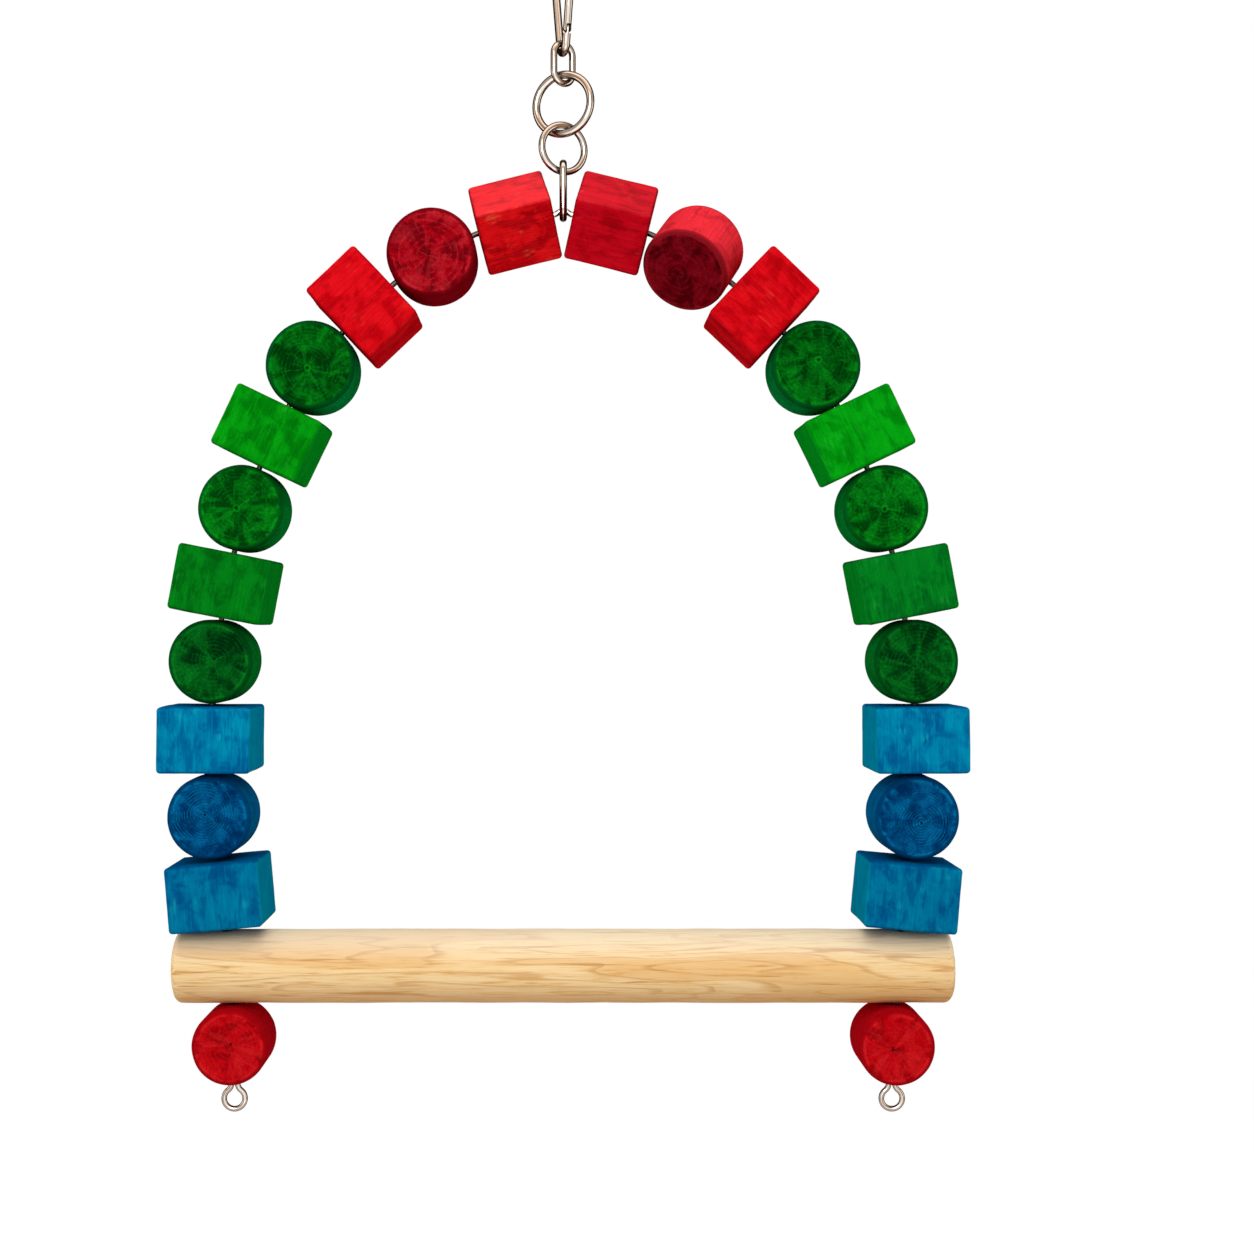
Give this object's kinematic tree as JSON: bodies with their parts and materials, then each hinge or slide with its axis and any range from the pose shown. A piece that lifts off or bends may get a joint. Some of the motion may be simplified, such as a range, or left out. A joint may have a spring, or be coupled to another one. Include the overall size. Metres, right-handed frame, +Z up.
{
  "type": "hanging bird swing",
  "caption": "Bent wire arch strung with dyed wooden blocks and rounds over a pine perch, hung from rings and a snap hook.",
  "frame": {"origin": "hang point, on the underside of the snap hook's head bend where the cage bar bears", "axes": "+Z up, +X along the perch to the viewer's right, +Y away from the viewer through the arch"},
  "size_m": [0.457, 0.0586, 0.6857],
  "materials": {
    "nickel_steel": "bright nickel plate",
    "spring_steel": "plain spring wire",
    "pale_wood": "planed pine, unfinished",
    "red_block_dye": "stained, satin",
    "red_round_dye": "stained, satin",
    "green_block_dye": "stained, satin",
    "green_round_dye": "stained, satin",
    "blue_block_dye": "stained, satin",
    "blue_round_dye": "stained, satin"
  },
  "bodies": {
    "hook_body": {"hook_body": "nickel_steel", "gate_pin": "nickel_steel"},
    "hook_gate": {"hook_gate": "nickel_steel", "gate_spring": "spring_steel", "gate_plunger": "nickel_steel"},
    "chain_link": {"chain_link": "nickel_steel"},
    "large_ring": {"large_ring": "nickel_steel"},
    "small_ring": {"small_ring": "nickel_steel"},
    "long_link": {"long_link": "nickel_steel"},
    "arch": {"arch_wire": "nickel_steel", "perch": "pale_wood"},
    "red_cube_left": {"red_cube_left": "red_block_dye"},
    "red_round_left": {"red_round_left": "red_round_dye"},
    "red_block_left": {"red_block_left": "red_block_dye"},
    "green_round_1_left": {"green_round_1_left": "green_round_dye"},
    "green_block_1_left": {"green_block_1_left": "green_block_dye"},
    "green_round_2_left": {"green_round_2_left": "green_round_dye"},
    "green_block_2_left": {"green_block_2_left": "green_block_dye"},
    "green_round_3_left": {"green_round_3_left": "green_round_dye"},
    "blue_block_1_left": {"blue_block_1_left": "blue_block_dye"},
    "blue_round_left": {"blue_round_left": "blue_round_dye"},
    "blue_block_2_left": {"blue_block_2_left": "blue_block_dye"},
    "foot_round_left": {"foot_round_left": "red_round_dye"},
    "red_cube_right": {"red_cube_right": "red_block_dye"},
    "red_round_right": {"red_round_right": "red_round_dye"},
    "red_block_right": {"red_block_right": "red_block_dye"},
    "green_round_1_right": {"green_round_1_right": "green_round_dye"},
    "green_block_1_right": {"green_block_1_right": "green_block_dye"},
    "green_round_2_right": {"green_round_2_right": "green_round_dye"},
    "green_block_2_right": {"green_block_2_right": "green_block_dye"},
    "green_round_3_right": {"green_round_3_right": "green_round_dye"},
    "blue_block_1_right": {"blue_block_1_right": "blue_block_dye"},
    "blue_round_right": {"blue_round_right": "blue_round_dye"},
    "blue_block_2_right": {"blue_block_2_right": "blue_block_dye"},
    "foot_round_right": {"foot_round_right": "red_round_dye"}
  },
  "joints": [
    {"name": "gate_hinge", "type": "hinge", "parent": "hook_body", "child": "hook_gate", "pos_m": [0.00225, -0.00619, -0.0611], "axis": [-0.9397, -0.342, 0], "range_deg": [0, 26], "stiffness_Nm_per_rad": 0.12, "springref_deg": -20.05},
    {"name": "chain_link_swing", "type": "hinge", "parent": "hook_body", "child": "chain_link", "pos_m": [0, 0, -0.07315], "axis": [0.342, -0.9397, 0], "range_deg": [-18, 18]},
    {"name": "large_ring_swing", "type": "hinge", "parent": "chain_link", "child": "large_ring", "pos_m": [0, 0, -0.0908], "axis": [0.809, 0.5878, 0], "range_deg": [-15, 15]},
    {"name": "small_ring_swing", "type": "hinge", "parent": "large_ring", "child": "small_ring", "pos_m": [0, 0, -0.1197], "axis": [0.9205, -0.3907, 0], "range_deg": [-20, 20]},
    {"name": "long_link_swing", "type": "hinge", "parent": "small_ring", "child": "long_link", "pos_m": [0, 0, -0.1416], "axis": [0.9063, 0.4226, 0], "range_deg": [-10, 10]},
    {"name": "arch_sway", "type": "hinge", "parent": "long_link", "child": "arch", "pos_m": [0, 0, -0.16815], "axis": [0, 1, 0], "range_deg": [-6, 6]},
    {"name": "red_cube_left_spin", "type": "hinge", "parent": "arch", "child": "red_cube_left", "pos_m": [-0.02763, 0, -0.17089], "axis": [-0.9708, 0, -0.2399], "continuous": true},
    {"name": "red_round_left_spin", "type": "hinge", "parent": "arch", "child": "red_round_left", "pos_m": [-0.07477, 0, -0.19099], "axis": [-0.8533, 0, -0.5215], "range_deg": [-52, 52]},
    {"name": "red_block_left_spin", "type": "hinge", "parent": "arch", "child": "red_block_left", "pos_m": [-0.11316, 0, -0.22028], "axis": [-0.7254, 0, -0.6883], "continuous": true},
    {"name": "green_round_1_left_spin", "type": "hinge", "parent": "arch", "child": "green_round_1_left", "pos_m": [-0.14298, 0, -0.25471], "axis": [-0.5882, 0, -0.8087], "range_deg": [-24, 24]},
    {"name": "green_block_1_left_spin", "type": "hinge", "parent": "arch", "child": "green_block_1_left", "pos_m": [-0.16655, 0, -0.29368], "axis": [-0.4314, 0, -0.9022], "continuous": true},
    {"name": "green_round_2_left_spin", "type": "hinge", "parent": "arch", "child": "green_round_2_left", "pos_m": [-0.18224, 0, -0.33543], "axis": [-0.2882, 0, -0.9576], "range_deg": [-31, 31]},
    {"name": "green_block_2_left_spin", "type": "hinge", "parent": "arch", "child": "green_block_2_left", "pos_m": [-0.19309, 0, -0.37875], "axis": [-0.1929, 0, -0.9812], "continuous": true},
    {"name": "green_round_3_left_spin", "type": "hinge", "parent": "arch", "child": "green_round_3_left", "pos_m": [-0.19944, 0, -0.42245], "axis": [-0.0999, 0, -0.995], "continuous": true},
    {"name": "blue_block_1_left_spin", "type": "hinge", "parent": "arch", "child": "blue_block_1_left", "pos_m": [-0.2019, 0, -0.46654], "axis": [-0.006, 0, -1], "continuous": true},
    {"name": "blue_round_left_spin", "type": "hinge", "parent": "arch", "child": "blue_round_left", "pos_m": [-0.20012, 0, -0.51068], "axis": [0.0748, 0, -0.9972], "continuous": true},
    {"name": "blue_block_2_left_spin", "type": "hinge", "parent": "arch", "child": "blue_block_2_left", "pos_m": [-0.19642, 0, -0.55472], "axis": [0.0872, 0, -0.9962], "continuous": true},
    {"name": "foot_round_left_spin", "type": "hinge", "parent": "arch", "child": "foot_round_left", "pos_m": [-0.1886, 0, -0.64057], "axis": [0, 0, -1], "continuous": true},
    {"name": "red_cube_right_spin", "type": "hinge", "parent": "arch", "child": "red_cube_right", "pos_m": [0.02763, 0, -0.17089], "axis": [0.9708, 0, -0.2399], "continuous": true},
    {"name": "red_round_right_spin", "type": "hinge", "parent": "arch", "child": "red_round_right", "pos_m": [0.07477, 0, -0.19099], "axis": [0.8533, 0, -0.5215], "range_deg": [-96, 6]},
    {"name": "red_block_right_spin", "type": "hinge", "parent": "arch", "child": "red_block_right", "pos_m": [0.11316, 0, -0.22028], "axis": [0.7254, 0, -0.6883], "continuous": true},
    {"name": "green_round_1_right_spin", "type": "hinge", "parent": "arch", "child": "green_round_1_right", "pos_m": [0.14298, 0, -0.25471], "axis": [0.5882, 0, -0.8087], "range_deg": [-24, 24]},
    {"name": "green_block_1_right_spin", "type": "hinge", "parent": "arch", "child": "green_block_1_right", "pos_m": [0.16655, 0, -0.29368], "axis": [0.4314, 0, -0.9022], "continuous": true},
    {"name": "green_round_2_right_spin", "type": "hinge", "parent": "arch", "child": "green_round_2_right", "pos_m": [0.18224, 0, -0.33543], "axis": [0.2882, 0, -0.9576], "range_deg": [-31, 31]},
    {"name": "green_block_2_right_spin", "type": "hinge", "parent": "arch", "child": "green_block_2_right", "pos_m": [0.19309, 0, -0.37875], "axis": [0.1929, 0, -0.9812], "continuous": true},
    {"name": "green_round_3_right_spin", "type": "hinge", "parent": "arch", "child": "green_round_3_right", "pos_m": [0.19944, 0, -0.42245], "axis": [0.0999, 0, -0.995], "continuous": true},
    {"name": "blue_block_1_right_spin", "type": "hinge", "parent": "arch", "child": "blue_block_1_right", "pos_m": [0.2019, 0, -0.46654], "axis": [0.006, 0, -1], "continuous": true},
    {"name": "blue_round_right_spin", "type": "hinge", "parent": "arch", "child": "blue_round_right", "pos_m": [0.20012, 0, -0.51068], "axis": [-0.0748, 0, -0.9972], "continuous": true},
    {"name": "blue_block_2_right_spin", "type": "hinge", "parent": "arch", "child": "blue_block_2_right", "pos_m": [0.19642, 0, -0.55472], "axis": [-0.0872, 0, -0.9962], "continuous": true},
    {"name": "foot_round_right_spin", "type": "hinge", "parent": "arch", "child": "foot_round_right", "pos_m": [0.1886, 0, -0.64057], "axis": [0, 0, -1], "continuous": true}
  ]
}
